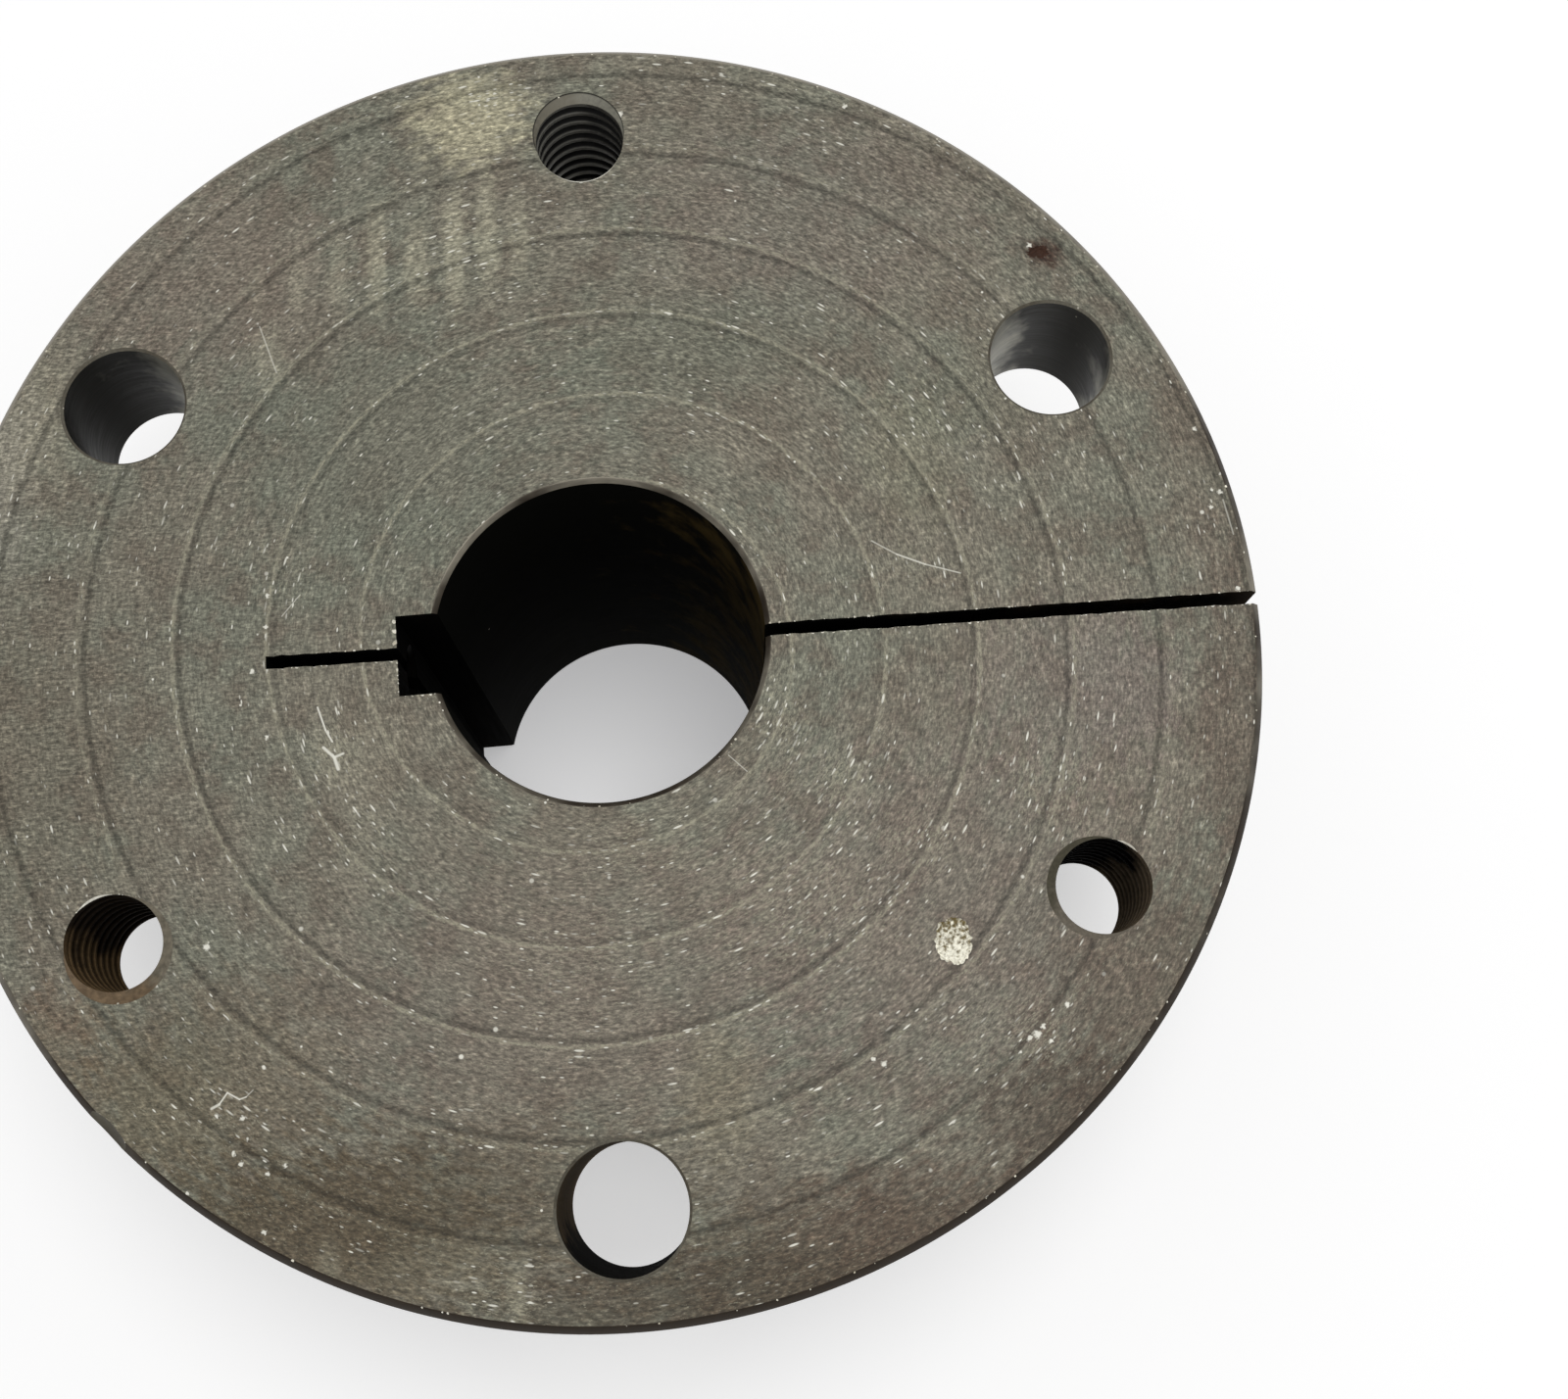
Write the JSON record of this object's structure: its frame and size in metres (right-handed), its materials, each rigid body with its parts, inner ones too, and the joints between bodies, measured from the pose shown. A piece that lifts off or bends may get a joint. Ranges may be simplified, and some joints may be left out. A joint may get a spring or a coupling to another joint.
{
  "type": "quick disconnect bushing",
  "caption": "Split tapered bushing with a round flange, a straight keyed bore, alternating clearance and jacking holes, and one radial saw slot.",
  "frame": {"origin": "middle of the end face of the barrel, at its small end, on the bore's axis", "axes": "+Z along the bore from the barrel's small end to the flange's outer face; +X towards the open mouth of the saw slot"},
  "size_m": [0.1524, 0.1524, 0.0698],
  "materials": {
    "machined_iron": "turned, darkened and lightly worn, satin, with faint tool marks"
  },
  "bodies": {
    "root": {"bushing": "machined_iron"}
  },
  "joints": []
}
